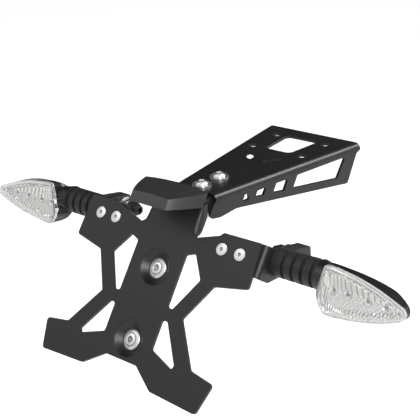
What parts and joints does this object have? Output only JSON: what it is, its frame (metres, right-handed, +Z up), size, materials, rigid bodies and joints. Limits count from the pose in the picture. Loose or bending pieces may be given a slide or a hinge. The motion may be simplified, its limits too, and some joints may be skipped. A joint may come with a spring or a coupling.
{
  "type": "motorcycle tail tidy",
  "caption": "Folded black tail bracket with a windowed number plate carrier, a light hood and ribbed-stem indicators on side arms.",
  "frame": {"origin": "midway between the four frame bolt holes, on the top face of the main bracket", "axes": "+X to the motorcycle's right, +Y forward, +Z up, square to the main bracket's top face"},
  "size_m": [0.4136, 0.2714, 0.1357],
  "materials": {
    "black_coat": "satin powder coat",
    "rubber": "matt moulded",
    "black_plastic": "satin moulded",
    "clear_plastic": "clear moulded",
    "reflector": "metallised",
    "circuit_board": "solder mask",
    "grey_plastic": "moulded",
    "zinc_steel": "zinc plated",
    "stainless_steel": "polished"
  },
  "bodies": {
    "root": {"main_bracket": "black_coat", "plate_bracket": "black_coat", "light_hood": "black_coat", "plate_light_body": "black_plastic", "plate_light_lens": "clear_plastic", "plate_light_board": "circuit_board", "plate_light_screws": "stainless_steel", "hood_nuts": "zinc_steel", "top_bolts": "stainless_steel", "top_washers": "stainless_steel", "top_nuts": "zinc_steel", "plate_bolts": "stainless_steel", "plate_nuts": "zinc_steel", "ear_screws": "stainless_steel", "ear_nuts": "zinc_steel", "indicator_bracket_left": "black_coat", "indicator_bracket_right": "black_coat", "indicator_stem_left": "rubber", "indicator_stem_right": "rubber", "indicator_core_left": "grey_plastic", "indicator_core_right": "grey_plastic", "indicator_stud_left": "zinc_steel", "indicator_stud_right": "zinc_steel", "indicator_washers": "zinc_steel", "indicator_nuts": "zinc_steel", "cable_grommets": "rubber", "indicator_housing_left": "black_plastic", "indicator_housing_right": "black_plastic", "indicator_lens_left": "clear_plastic", "indicator_lens_right": "clear_plastic", "indicator_reflector_left": "reflector", "indicator_reflector_right": "reflector", "indicator_board_left": "circuit_board", "indicator_board_right": "circuit_board"}
  },
  "joints": []
}
